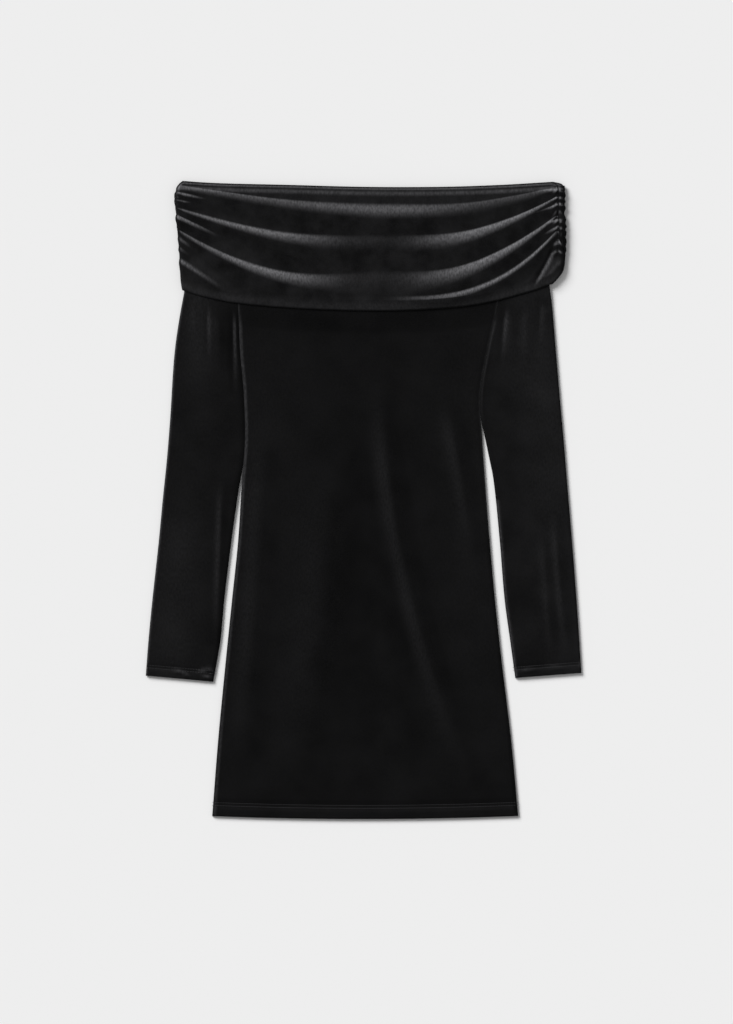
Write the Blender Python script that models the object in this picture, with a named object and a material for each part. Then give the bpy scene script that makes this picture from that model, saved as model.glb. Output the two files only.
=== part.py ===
"""Off-the-shoulder velvet dress with long sleeves and a deep turned-over collar, laid flat on its back.

Metres, +Z up. X runs across the dress and +Y towards its neck. The back panel lies on Z = 0, and the
origin is the middle of the dress's footprint.
"""

import math
from collections import namedtuple

import bmesh
import bpy

# Cloth and how its layers lie on each other
CLOTH = 0.0012
COLLAR_CLOTH = 0.0021
SEAM_GAP = 0.0003
COLLAR_CLEARANCE = 0.0004
BODY_LOFT = 0.0008
SLEEVE_LOFT = 0.0011
# The share of a panel's width in which it comes down to its seam or its fold
BODY_SEAT = 0.12
SLEEVE_SEAM_SEAT = 0.15
SLEEVE_FOLD_SEAT = 0.10

# Under the collar every layer lies on the back collar, and the middle level is between back and front
RISE = COLLAR_CLOTH + COLLAR_CLEARANCE
MID_LEVEL = RISE + CLOTH + SEAM_GAP / 2
COLLAR_INNER_HALF = CLOTH + SEAM_GAP / 2 + COLLAR_CLEARANCE
COLLAR_OUTER_HALF = COLLAR_INNER_HALF + COLLAR_CLOTH
RAMP_LENGTH = 0.030

# Collar edges: how its sides and its neckline roll over, and where the side seams come to lie
COLLAR_ROLL = 0.0045
RIGHT_ROLL = 0.012
RIGHT_ROLL_NARROWS_AT = 0.55
RIGHT_ROLL_NARROWS_OVER = 0.40
COLLAR_CROWN = 0.0012
NECK_FADE = 0.012
FOOT_FADE = 0.014
FOOT_LIFT_SHARE = 0.15
NECK_SLIT_ANGLE = math.radians(3)
RIGHT_SEAM_ANGLE = math.radians(70)
SEAM_HALF_ANGLE = 0.06
PANEL_BELOW_NECK = 0.0042
SLEEVE_INSIDE_ROLL = 0.8

# Collar outline, across the dress
CollarEdge = namedtuple("CollarEdge", "x y")
COLLAR_TOP = (
    CollarEdge(-0.2460, 0.4150),
    CollarEdge(-0.1930, 0.4115),
    CollarEdge(-0.0955, 0.4090),
    CollarEdge(0.0020, 0.4065),
    CollarEdge(0.0995, 0.4065),
    CollarEdge(0.1775, 0.4090),
    CollarEdge(0.2450, 0.4130),
)
COLLAR_FOOT = (
    CollarEdge(-0.2370, 0.2725),
    CollarEdge(-0.2140, 0.2650),
    CollarEdge(-0.1720, 0.2560),
    CollarEdge(-0.0995, 0.2490),
    CollarEdge(0.0085, 0.2450),
    CollarEdge(0.1000, 0.2480),
    CollarEdge(0.1600, 0.2555),
    CollarEdge(0.2180, 0.2705),
    CollarEdge(0.2425, 0.2790),
)
# Collar sides, by the share of the way down from the neckline
CollarSide = namedtuple("CollarSide", "share left right")
COLLAR_SIDES = (
    CollarSide(0.00, -0.2350, 0.2460),
    CollarSide(0.02, -0.2385, 0.2560),
    CollarSide(0.05, -0.2415, 0.2598),
    CollarSide(0.15, -0.2448, 0.2610),
    CollarSide(0.30, -0.2437, 0.2608),
    CollarSide(0.55, -0.2402, 0.2622),
    CollarSide(0.80, -0.2383, 0.2620),
    CollarSide(0.90, -0.2380, 0.2572),
    CollarSide(1.00, -0.2358, 0.2465),
)

# Body outline: armhole edges above the underarm, side seams below it
BodyRow = namedtuple("BodyRow", "y left right")
PARTING_Y = 0.0
BODY = (
    BodyRow(0.410, -0.1720, 0.2010),
    BodyRow(0.253, -0.1630, 0.1740),
    BodyRow(0.194, -0.1605, 0.1610),
    BodyRow(0.136, -0.1555, 0.1515),
    BodyRow(0.077, -0.1540, 0.1545),
    BodyRow(0.025, -0.1580, 0.1580),
    BodyRow(-0.053, -0.1630, 0.1640),
    BodyRow(-0.131, -0.1710, 0.1710),
    BodyRow(-0.209, -0.1790, 0.1795),
    BodyRow(-0.313, -0.1890, 0.1920),
    BodyRow(-0.4155, -0.1970, 0.2015),
)
HEM_SIDE_Y = -0.4115
HEM_DIP = 0.004

# Sleeves: the folded outer edge, and the space between the sleeve and the body
SleeveRow = namedtuple("SleeveRow", "y outer gap")
LEFT_SLEEVE = (
    SleeveRow(0.271, -0.2330, SEAM_GAP),
    SleeveRow(0.194, -0.2450, SEAM_GAP),
    SleeveRow(0.103, -0.2515, SEAM_GAP),
    SleeveRow(0.049, -0.2560, SEAM_GAP),
    SleeveRow(0.000, -0.2610, 0.0045),
    SleeveRow(-0.053, -0.2660, 0.0085),
    SleeveRow(-0.131, -0.2745, 0.0100),
    SleeveRow(-0.183, -0.2795, 0.0095),
    SleeveRow(-0.237, -0.2835, 0.0135),
)
RIGHT_SLEEVE = (
    SleeveRow(0.2800, 0.2415, SEAM_GAP),
    SleeveRow(0.2550, 0.2445, SEAM_GAP),
    SleeveRow(0.194, 0.2500, SEAM_GAP),
    SleeveRow(0.110, 0.2575, SEAM_GAP),
    SleeveRow(0.064, 0.2615, 0.0060),
    SleeveRow(0.025, 0.2645, 0.0110),
    SleeveRow(-0.053, 0.2710, 0.0130),
    SleeveRow(-0.131, 0.2770, 0.0125),
    SleeveRow(-0.183, 0.2805, 0.0140),
    SleeveRow(-0.232, 0.2835, 0.0150),
)
# Cuff lines slant: the height of the outer and the inner corner
Cuff = namedtuple("Cuff", "outer_x outer_y inner_x inner_y")
LEFT_CUFF = Cuff(-0.2830, -0.2290, -0.1955, -0.2370)
RIGHT_CUFF = Cuff(0.2830, -0.2255, 0.1980, -0.2320)
RIGHT_SLEEVE_NECK_X = 0.2505
RIGHT_SLEEVE_NECK_Y = 0.409

# Swags: long folds that sag across the collar from gather to gather
SEAM_LEFT_X = -0.244
SEAM_RIGHT_X = 0.250
Swag = namedtuple(
    "Swag",
    "left_y low_x low_y right_y bow_left bow_right lift_left lift_middle lift_right lift_seam width_middle width_seam",
)
SWAGS = (
    Swag(0.4100, 0.034, 0.3735, 0.4050, 1.35, 1.8, 0.0034, 0.0036, 0.0022, 0.0012, 0.0130, 0.0050),
    Swag(0.3810, 0.015, 0.3295, 0.3945, 1.80, 2.2, 0.0046, 0.0020, 0.0040, 0.0018, 0.0125, 0.0045),
    Swag(0.3530, 0.015, 0.2775, 0.3740, 2.05, 2.1, 0.0048, 0.0012, 0.0044, 0.0018, 0.0120, 0.0045),
    Swag(0.3100, 0.002, 0.2580, 0.3480, 4.10, 3.1, 0.0022, 0.0010, 0.0044, 0.0018, 0.0090, 0.0045),
)
SWAG_UPPER_FLANK = 0.62
SWAG_LOWER_FLANK = 1.25

# Gathers: short pleats that start at a ruched side seam and die away
Gather = namedtuple("Gather", "seam_x y run fall lift width")
GATHERS = (
    Gather(-0.2450, 0.3990, 0.036, 0.009, 0.0016, 0.0040),
    Gather(-0.2450, 0.3895, 0.020, 0.004, 0.0014, 0.0035),
    Gather(-0.2440, 0.3690, 0.040, 0.020, 0.0020, 0.0045),
    Gather(-0.2430, 0.3420, 0.018, 0.012, 0.0018, 0.0045),
    Gather(-0.2420, 0.3270, 0.016, 0.009, 0.0014, 0.0040),
    Gather(-0.2410, 0.2950, 0.022, 0.010, 0.0012, 0.0045),
    Gather(0.2560, 0.4035, 0.030, 0.002, 0.0012, 0.0035),
    Gather(0.2560, 0.3840, 0.024, 0.009, 0.0016, 0.0035),
    Gather(0.2560, 0.3640, 0.018, 0.006, 0.0018, 0.0035),
    Gather(0.2560, 0.3560, 0.030, 0.020, 0.0014, 0.0035),
    Gather(0.2570, 0.3360, 0.016, 0.010, 0.0016, 0.0035),
    Gather(0.2590, 0.3240, 0.018, 0.020, 0.0016, 0.0040),
)
# Puckers: the small even waves right on a ruched seam
PuckerRun = namedtuple("PuckerRun", "seam_x top_y foot_y pitch run lift")
PUCKERS = (
    PuckerRun(-0.2440, 0.4120, 0.3020, 0.0125, 0.012, 0.0009),
    PuckerRun(0.2535, 0.4090, 0.3120, 0.0097, 0.014, 0.0015),
)
PUCKER_BULGE = 0.5

# Swags flatten between this share of the way to a seam and the seam itself
SWAG_FULL = 0.6

# Long soft folds of the body, and short ones where the sleeves come out from under the collar
SoftFold = namedtuple("SoftFold", "top_x top_y foot_x foot_y bow lift width")
BODY_FOLDS = (
    SoftFold(0.0345, 0.150, 0.1620, -0.400, -0.0190, 0.0022, 0.016),
    SoftFold(0.0900, 0.150, 0.1780, -0.240, 0.0150, 0.0014, 0.014),
    SoftFold(-0.0450, 0.060, -0.0900, -0.410, 0.0100, 0.0014, 0.030),
    SoftFold(-0.1320, 0.120, -0.1550, -0.400, -0.0020, 0.0010, 0.020),
)
FOLD_FADE_TOP = 0.25
FOLD_FADE_FOOT = 0.12
SLEEVE_FOLDS = (
    SoftFold(-0.2110, 0.300, -0.2060, 0.190, 0.0, 0.0013, 0.006),
    SoftFold(-0.1840, 0.290, -0.1800, 0.170, 0.0, 0.0013, 0.006),
    SoftFold(-0.2270, 0.060, -0.2080, -0.160, 0.004, 0.0009, 0.012),
    SoftFold(0.2080, 0.300, 0.1960, 0.180, 0.0, 0.0013, 0.006),
    SoftFold(0.2290, 0.290, 0.2230, 0.150, 0.0, 0.0010, 0.007),
    SoftFold(0.2200, 0.020, 0.2520, -0.190, -0.004, 0.0010, 0.012),
)

# The groove and the soft ridge beside it where the collar's lower right corner turns under
COLLAR_CREASES = (
    SoftFold(0.2500, 0.3300, 0.2180, 0.2700, 0.0015, -0.0016, 0.0045),
    SoftFold(0.2620, 0.3150, 0.2200, 0.2740, 0.0040, 0.0012, 0.0060),
)

# Grid sizes
HIDDEN_ROWS = 3
RAMP_ROWS = 4
SEWN_ROWS = 7
BODY_ROWS = 10
BACK_COLUMNS = 10
FRONT_COLUMNS = 18
SLEEVE_ROWS = 6
LOWER_PLY_COLUMNS = 3
FOLD_COLUMNS = 4
UPPER_PLY_COLUMNS = 9
ROLL_STEPS = 3
RIGHT_FRONT_STEPS = 2
RIGHT_BACK_STEPS = 7
COLLAR_BAND_ROWS = (5, 7, 8, 5, 7)
FRONT_COLLAR_COLUMNS = 30
BACK_COLLAR_COLUMNS = 8

# Velvet: near black, matt, each piece with its own material
VELVET_COLOUR = (0.008, 0.008, 0.009, 1.0)
VELVET_ROUGHNESS = 0.85
SHARP_ANGLE = math.radians(75)


def mix(a, b, share):
    return a + (b - a) * share


def ease(share):
    """0 to 1 with level ends."""
    share = min(max(share, 0.0), 1.0)
    return share * share * (3 - 2 * share)


def read(table, at, key, column):
    """A table's column, read smoothly between the rows where the key column is `at`."""
    rows = sorted(table, key=lambda row: getattr(row, key))
    keys = [getattr(row, key) for row in rows]
    values = [getattr(row, column) for row in rows]
    last = len(rows) - 2
    i = min(max(sum(k <= at for k in keys) - 1, 0), last)
    step = keys[i + 1] - keys[i]
    slope = (values[i + 1] - values[i]) / step

    def tangent(j):
        """The slope through row j, from its neighbours."""
        if j == 0 or j == last + 1:
            return slope
        return (values[j + 1] - values[j - 1]) / (keys[j + 1] - keys[j - 1])

    t = (at - keys[i]) / step
    if not 0 <= t <= 1:
        return values[i] + slope * step * t
    rise_in, rise_out = tangent(i) * step, tangent(i + 1) * step
    return (
        values[i] * (2 * t**3 - 3 * t**2 + 1)
        + rise_in * (t**3 - 2 * t**2 + t)
        + values[i + 1] * (3 * t**2 - 2 * t**3)
        + rise_out * (t**3 - t**2)
    )


def collar_top(x):
    return read(COLLAR_TOP, x, "x", "y")


def collar_foot(x):
    return read(COLLAR_FOOT, x, "x", "y")


def collar_side(share, side):
    return read(COLLAR_SIDES, share, "share", side)


def body_edge(y, side):
    return read(BODY, y, "y", side)


def hem_line(x):
    """The hem dips a little in the middle."""
    half = (BODY[-1].right - BODY[-1].left) / 2
    return HEM_SIDE_Y - HEM_DIP * (1 - (x / half) ** 2)


def collar_share(x, y):
    """How far down the collar a point lies, 0 at the neckline and 1 at the foot."""
    return (collar_top(x) - y) / (collar_top(x) - collar_foot(x))


def collar_roll(share, side):
    """How far in from its side the collar has rolled flat. The right side rolls over more loosely."""
    if side == "left":
        return COLLAR_ROLL
    narrowed = ease((share - RIGHT_ROLL_NARROWS_AT) / RIGHT_ROLL_NARROWS_OVER)
    return mix(RIGHT_ROLL, COLLAR_ROLL, narrowed)


def sleeve_outer(y, side):
    """The folded outer edge of a sleeve, which keeps inside the collar's side from its foot up."""
    table = LEFT_SLEEVE if side == "left" else RIGHT_SLEEVE
    if y <= table[0].y:
        return read(table, y, "y", "outer")
    share = collar_share(table[0].outer, y)
    inside = SLEEVE_INSIDE_ROLL * collar_roll(share, side)
    if side == "left":
        return collar_side(share, side) + inside
    straight = mix(table[0].outer, RIGHT_SLEEVE_NECK_X, (y - table[0].y) / (RIGHT_SLEEVE_NECK_Y - table[0].y))
    return min(straight, collar_side(share, side) - inside)


def sleeve_inner(y, side):
    """The seamed inner edge of a sleeve, beside the armhole and then beside the body."""
    if side == "left":
        return body_edge(y, side) - max(read(LEFT_SLEEVE, y, "y", "gap"), SEAM_GAP)
    return body_edge(y, side) + max(read(RIGHT_SLEEVE, y, "y", "gap"), SEAM_GAP)


def cuff_line(x, side):
    cuff = LEFT_CUFF if side == "left" else RIGHT_CUFF
    return mix(cuff.outer_y, cuff.inner_y, (x - cuff.outer_x) / (cuff.inner_x - cuff.outer_x))


def panel_rows(free_rows):
    """Rows from the neckline down: (zone, share of the way down that zone)."""
    counts = (("hidden", HIDDEN_ROWS), ("ramp", RAMP_ROWS), ("sewn", SEWN_ROWS), ("free", free_rows))
    rows = [(zone, k / count) for zone, count in counts for k in range(count)]
    return rows + [("free", 1.0)]


def row_height(x, zone, share, bottom):
    """The y of a row at x, the same on each piece down to where the sleeves part from the body."""
    neck = collar_top(x) - PANEL_BELOW_NECK
    foot = collar_foot(x)
    if zone == "hidden":
        return mix(neck, foot, share)
    if zone == "ramp":
        return foot - RAMP_LENGTH * share
    if zone == "sewn":
        return mix(foot - RAMP_LENGTH, PARTING_Y, share)
    return mix(PARTING_Y, bottom(x), share)


def raised(zone, share):
    """How much of the back collar's thickness a row is lifted by."""
    return {"hidden": 1.0, "ramp": 1 - ease(share), "sewn": 0.0, "free": 0.0}[zone]


def row_point(row, share_across, edges, bottom):
    """The x and y of a grid point, from the edges of the panel at that height."""
    zone, share = row
    x = 0.0
    for _ in range(4):
        y = row_height(x, zone, share, bottom)
        x = mix(edges[0](y), edges[1](y), share_across)
    return x, y


def soft_fold_lift(folds, x, y):
    """The height that long soft folds add to a layer."""
    total = 0.0
    for fold in folds:
        share = (fold.top_y - y) / (fold.top_y - fold.foot_y)
        if 0 < share < 1:
            centre = mix(fold.top_x, fold.foot_x, share) + fold.bow * 4 * share * (1 - share)
            fade = ease(share / FOLD_FADE_TOP) * ease((1 - share) / FOLD_FADE_FOOT)
            total += fold.lift * fade * math.exp(-(((x - centre) / fold.width) ** 2))
    return total


def swag_centre(swag, x):
    """The line of a swag: (its y at x, how near x is to the seam from 0 to 1, whether x is on the left)."""
    left = x < swag.low_x
    seam_x, seam_y = (SEAM_LEFT_X, swag.left_y) if left else (SEAM_RIGHT_X, swag.right_y)
    bow = swag.bow_left if left else swag.bow_right
    near = min((x - swag.low_x) / (seam_x - swag.low_x), 1.0)
    return swag.low_y + (seam_y - swag.low_y) * near**bow, near, left


def swag_lift(x, y):
    """The height that the swags add. Each is steeper on its neck side."""
    total = 0.0
    for swag in SWAGS:
        centre, near, left = swag_centre(swag, x)
        side_lift = swag.lift_left if left else swag.lift_right
        lift = mix(swag.lift_middle, side_lift, ease(near / SWAG_FULL))
        lift = mix(lift, swag.lift_seam, ease((near - SWAG_FULL) / (1 - SWAG_FULL)))
        width = mix(swag.width_middle, swag.width_seam, near)
        flank = SWAG_UPPER_FLANK if y > centre else SWAG_LOWER_FLANK
        total += lift * math.exp(-(((y - centre) / (width * flank)) ** 2))
    return total


def gather_lift(x, y):
    """The height that the short pleats beside the ruched seams add."""
    total = 0.0
    for gather in GATHERS:
        inward = (x - gather.seam_x) * (-1 if gather.seam_x > 0 else 1)
        along = inward / gather.run
        if along < 1:
            centre = gather.y - gather.fall * max(along, 0.0)
            fade = 1 - ease(along)
            total += gather.lift * fade * math.exp(-(((y - centre) / gather.width) ** 2))
    return total


def pucker_lift(x, y):
    """The height of the even waves on the ruched seams."""
    total = 0.0
    for puckers in PUCKERS:
        along = abs(x - puckers.seam_x) / puckers.run
        if along < 1 and puckers.foot_y < y < puckers.top_y:
            fade = (1 - ease(along)) * ease((y - puckers.foot_y) / puckers.pitch)
            wave = 0.5 - 0.5 * math.cos(2 * math.pi * (puckers.top_y - y) / puckers.pitch)
            total += puckers.lift * fade * wave
    return total


def collar_relief(x, y):
    """The folds of the collar's cloth, without its crown."""
    creases = soft_fold_lift(COLLAR_CREASES, x, y)
    return swag_lift(x, y) + gather_lift(x, y) + pucker_lift(x, y) + creases


def collar_lift(x, y):
    """All that stands above the plain turned-over collar."""
    below_neck = ease((collar_top(x) - y) / NECK_FADE)
    above_foot = mix(FOOT_LIFT_SHARE, 1.0, ease((y - collar_foot(x)) / FOOT_FADE))
    return (COLLAR_CROWN + collar_relief(x, y)) * below_neck * above_foot


def velvet(name):
    material = bpy.data.materials.new(name)
    material.use_nodes = True
    shader = material.node_tree.nodes["Principled BSDF"]
    shader.inputs["Base Color"].default_value = VELVET_COLOUR
    shader.inputs["Roughness"].default_value = VELVET_ROUGHNESS
    shader.inputs["Metallic"].default_value = 0.0
    material.diffuse_color = VELVET_COLOUR
    return material


def cloth_wall(name, outside, inside, collection):
    """One closed wall of cloth: two grids of points, its outside and its inside, joined round their rims."""
    wall = bmesh.new()
    for grid in (outside, inside):
        made = bmesh.ops.create_grid(wall, x_segments=len(grid[0]) - 1, y_segments=len(grid) - 1, size=1)
        points = [point for row in grid for point in row]
        for vertex, point in zip(made["verts"], points, strict=True):
            vertex.co = point
    bmesh.ops.bridge_loops(wall, edges=[edge for edge in wall.edges if edge.is_boundary])
    bmesh.ops.recalc_face_normals(wall, faces=wall.faces)
    mesh = bpy.data.meshes.new(name)
    wall.to_mesh(mesh)
    wall.free()
    mesh.materials.append(velvet(name))
    mesh.shade_smooth()
    mesh.set_sharp_from_angle(angle=SHARP_ANGLE)
    piece = bpy.data.objects.new(name, mesh)
    collection.objects.link(piece)
    return piece


def body_left(y):
    return body_edge(y, "left")


def body_right(y):
    return body_edge(y, "right")


def back_panel(collection):
    """Lies on the table, and climbs onto the back collar."""
    under, over = [], []
    for row in panel_rows(BODY_ROWS):
        level = RISE * raised(*row)
        shares = [c / BACK_COLUMNS for c in range(BACK_COLUMNS + 1)]
        points = [row_point(row, share, (body_left, body_right), hem_line) for share in shares]
        under.append([(x, y, level) for x, y in points])
        over.append([(x, y, level + CLOTH) for x, y in points])
    return cloth_wall("back_panel", over, under, collection)


def front_panel(collection):
    """Lies on the back panel, with a little air and its soft folds between the side seams."""
    under, over = [], []
    for row in panel_rows(BODY_ROWS):
        level = RISE * raised(*row) + CLOTH + SEAM_GAP
        low, high = [], []
        for c in range(FRONT_COLUMNS + 1):
            across = c / FRONT_COLUMNS
            x, y = row_point(row, across, (body_left, body_right), hem_line)
            inside = ease(min(across, 1 - across) / BODY_SEAT) * (1 - raised(*row))
            puff = inside * (BODY_LOFT + soft_fold_lift(BODY_FOLDS, x, y))
            low.append((x, y, level + puff))
            high.append((x, y, level + puff + CLOTH))
        under.append(low)
        over.append(high)
    return cloth_wall("front_panel", over, under, collection)


def sleeve(side, collection):
    """One piece of cloth folded at its outer edge, so that its two long edges meet at the inner seam."""
    toward_fold = -1 if side == "left" else 1
    edges = (lambda y: sleeve_inner(y, side), lambda y: sleeve_outer(y, side))
    outside, inside = [], []
    for row in panel_rows(SLEEVE_ROWS):
        ground = RISE * raised(*row)
        free = 1 - raised(*row)
        loft = SLEEVE_LOFT * free
        radius = (2 * CLOTH + SEAM_GAP + loft) / 2
        fold_share = 1 - radius / abs(edges[1](0) - edges[0](0))
        out_row, in_row = [], []
        for c in range(LOWER_PLY_COLUMNS + 1):
            x, y = row_point(row, fold_share * c / LOWER_PLY_COLUMNS, edges, lambda x: cuff_line(x, side))
            out_row.append((x, y, ground))
            in_row.append((x, y, ground + CLOTH))
        fold_x, fold_y = x, y
        for step in range(1, FOLD_COLUMNS):
            angle = math.pi * step / FOLD_COLUMNS
            for grid_row, r in ((out_row, radius), (in_row, radius - CLOTH)):
                grid_row.append(
                    (fold_x + toward_fold * r * math.sin(angle), fold_y, ground + radius - r * math.cos(angle))
                )
        for c in range(UPPER_PLY_COLUMNS + 1):
            across = fold_share * (1 - c / UPPER_PLY_COLUMNS)
            x, y = row_point(row, across, edges, lambda x: cuff_line(x, side))
            from_fold = ease((fold_share - across) / SLEEVE_FOLD_SEAT)
            puff = ease(across / SLEEVE_SEAM_SEAT) * (loft + free * from_fold * soft_fold_lift(SLEEVE_FOLDS, x, y))
            top = ground + 2 * CLOTH + SEAM_GAP + puff
            out_row.append((x, y, top))
            in_row.append((x, y, top - CLOTH))
        outside.append(out_row)
        inside.append(in_row)
    return cloth_wall(f"sleeve_{side}", outside, inside, collection)


def collar_line(x, number):
    """The lines that the collar's rows are spaced between: 0 at the neckline, each swag, then the foot."""
    if number == 0:
        return collar_top(x) - COLLAR_ROLL
    if number <= len(SWAGS):
        return swag_centre(SWAGS[number - 1], x)[0]
    return collar_foot(x)


def collar_rows():
    """The rows down a collar: (angle round the neckline's roll, place among the collar's lines)."""
    rows = [(mix(NECK_SLIT_ANGLE, math.pi / 2, k / ROLL_STEPS), 0.0) for k in range(ROLL_STEPS)]
    for line, count in enumerate(COLLAR_BAND_ROWS):
        rows += [(math.pi / 2, line + k / count) for k in range(count)]
    return rows + [(math.pi / 2, float(len(COLLAR_BAND_ROWS)))]


def right_seam_angle(place):
    """The right side seam rides up onto the front, and runs out to the edge at the collar's foot."""
    return RIGHT_SEAM_ANGLE * (1 - ease(place - len(SWAGS)))


def right_seam_half_angle(place):
    """Half the angle that the right seam's gap takes up. It is smaller where the roll is wide."""
    on_front = right_seam_angle(place) / RIGHT_SEAM_ANGLE
    return SEAM_HALF_ANGLE * mix(1, COLLAR_ROLL / RIGHT_ROLL, on_front)


def collar_columns(place, front, middle_columns):
    """The columns across a collar: (side or middle, angle round the rolled edge, share across the flat part)."""
    flat = math.pi / 2 if front else -math.pi / 2
    seam_sign = 1 if front else -1
    left_start = seam_sign * SEAM_HALF_ANGLE
    right_end = right_seam_angle(place) + seam_sign * right_seam_half_angle(place)
    steps = RIGHT_FRONT_STEPS if front else RIGHT_BACK_STEPS
    left = [("left", mix(left_start, flat, k / ROLL_STEPS), 0.0) for k in range(ROLL_STEPS)]
    across = [(1 - math.cos(math.pi * k / middle_columns)) / 2 for k in range(middle_columns + 1)]
    middle = [("middle", flat, share) for share in across]
    right = [("right", mix(right_end, flat, k / steps), 1.0) for k in range(steps - 1, -1, -1)]
    return left + middle + right


def collar_point(column, row, depth):
    """A point of the collar. Depth is 0 on its outside and the cloth's thickness on its inside."""
    zone, angle, across = column
    neck_angle, place = row
    half = COLLAR_OUTER_HALF - depth
    neck_drop = depth + (COLLAR_ROLL - depth) * (1 - math.cos(neck_angle))
    line = min(int(place), len(SWAGS))
    x = mix(COLLAR_SIDES[0].left, COLLAR_SIDES[0].right, across)
    for _ in range(4):
        if neck_angle < math.pi / 2:
            y = collar_top(x) - neck_drop
        else:
            y = mix(collar_line(x, line), collar_line(x, line + 1), place - line)
        share = collar_share(x, y)
        left, right = collar_side(share, "left"), collar_side(share, "right")
        left_roll, right_roll = collar_roll(share, "left"), collar_roll(share, "right")
        if zone == "left":
            x = left + depth + (left_roll - depth) * (1 - math.cos(angle))
        elif zone == "right":
            x = right - depth - (right_roll - depth) * (1 - math.cos(angle))
        else:
            x = mix(left + left_roll, right - right_roll, across)
    lift = collar_lift(x, y) if angle > 0 else 0.0
    if zone != "middle" and depth == 0:
        bulge = PUCKER_BULGE * collar_relief(x, y) * math.cos(angle) * math.sin(neck_angle)
        x += bulge if zone == "right" else -bulge
    return x, y, MID_LEVEL + (half + lift) * math.sin(angle) * math.sin(neck_angle)


def collar(name, front, middle_columns, collection):
    """A doubled band, turned over at the neckline and ruched where it is sewn to its other half."""
    outside, inside = [], []
    for row in collar_rows():
        columns = collar_columns(row[1], front, middle_columns)
        outside.append([collar_point(column, row, 0.0) for column in columns])
        inside.append([collar_point(column, row, COLLAR_CLOTH) for column in columns])
    return cloth_wall(name, outside, inside, collection)


def main():
    for leftover in list(bpy.data.objects):
        bpy.data.objects.remove(leftover)
    dress = bpy.data.collections.new("off_shoulder_dress")
    bpy.context.scene.collection.children.link(dress)
    back_panel(dress)
    front_panel(dress)
    sleeve("left", dress)
    sleeve("right", dress)
    collar("collar_back", False, BACK_COLLAR_COLUMNS, dress)
    collar("collar_front", True, FRONT_COLLAR_COLUMNS, dress)


main()
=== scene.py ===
"""The looks of a black velvet off-the-shoulder dress that lies flat on a pale floor, seen from above.

Metres, +Z up, +Y towards the neck. Left and right are as the camera sees them.
"""

import math
from collections import namedtuple

import bmesh
import bpy
import numpy as np
from mathutils import Matrix


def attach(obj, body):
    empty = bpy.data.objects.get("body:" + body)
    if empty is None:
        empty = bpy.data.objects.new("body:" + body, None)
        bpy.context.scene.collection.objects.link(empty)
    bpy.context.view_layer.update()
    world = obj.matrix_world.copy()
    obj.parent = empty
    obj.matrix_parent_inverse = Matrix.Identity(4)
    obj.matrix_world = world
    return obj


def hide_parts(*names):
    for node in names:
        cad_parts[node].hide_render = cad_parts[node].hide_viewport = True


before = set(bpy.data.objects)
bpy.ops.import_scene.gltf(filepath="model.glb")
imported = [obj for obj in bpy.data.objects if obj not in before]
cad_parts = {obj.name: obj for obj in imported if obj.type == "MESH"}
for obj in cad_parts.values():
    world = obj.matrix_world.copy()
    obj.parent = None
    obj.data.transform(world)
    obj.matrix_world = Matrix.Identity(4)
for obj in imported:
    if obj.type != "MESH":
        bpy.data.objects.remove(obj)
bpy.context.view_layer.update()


# BACK PANEL. One A-line cut of stretch velvet, nap side out, that lies on the floor with its hem turned up.
# Its top edge climbs onto the back of the collar, and its side edges are overlocked to the front.

cloth = 0.0012
collar_cloth = 0.0021
seam_gap = 0.0003
collar_clearance = 0.0004
rise = collar_cloth + collar_clearance
ramp_length = 0.030
panel_below_neck = 0.0042
body_loft = 0.0008
hem_side_y = -0.4115
hem_dip = 0.004
hem_turn = 0.0165
hem_stitch_heights = (0.0140, 0.0178)
settling_passes = 4

BodyRow = namedtuple("BodyRow", "y left right")
body_rows = (
    BodyRow(-0.4155, -0.1970, 0.2015),
    BodyRow(-0.313, -0.1890, 0.1920),
    BodyRow(-0.209, -0.1790, 0.1795),
    BodyRow(-0.131, -0.1710, 0.1710),
    BodyRow(-0.053, -0.1630, 0.1640),
    BodyRow(0.025, -0.1580, 0.1580),
    BodyRow(0.077, -0.1540, 0.1545),
    BodyRow(0.136, -0.1555, 0.1515),
    BodyRow(0.194, -0.1605, 0.1610),
    BodyRow(0.253, -0.1630, 0.1740),
    BodyRow(0.410, -0.1720, 0.2010),
)
EdgePoint = namedtuple("EdgePoint", "x y")
collar_top_points = (
    EdgePoint(-0.2460, 0.4150),
    EdgePoint(-0.1930, 0.4115),
    EdgePoint(-0.0955, 0.4090),
    EdgePoint(0.0020, 0.4065),
    EdgePoint(0.0995, 0.4065),
    EdgePoint(0.1775, 0.4090),
    EdgePoint(0.2450, 0.4130),
)
collar_foot_points = (
    EdgePoint(-0.2370, 0.2725),
    EdgePoint(-0.2140, 0.2650),
    EdgePoint(-0.1720, 0.2560),
    EdgePoint(-0.0995, 0.2490),
    EdgePoint(0.0085, 0.2450),
    EdgePoint(0.1000, 0.2480),
    EdgePoint(0.1600, 0.2555),
    EdgePoint(0.2180, 0.2705),
    EdgePoint(0.2425, 0.2790),
)


def mix(a, b, share):
    return a + (b - a) * share


def ease(share):
    """0 to 1 with level ends."""
    share = np.clip(share, 0.0, 1.0)
    return share * share * (3 - 2 * share)


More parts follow.
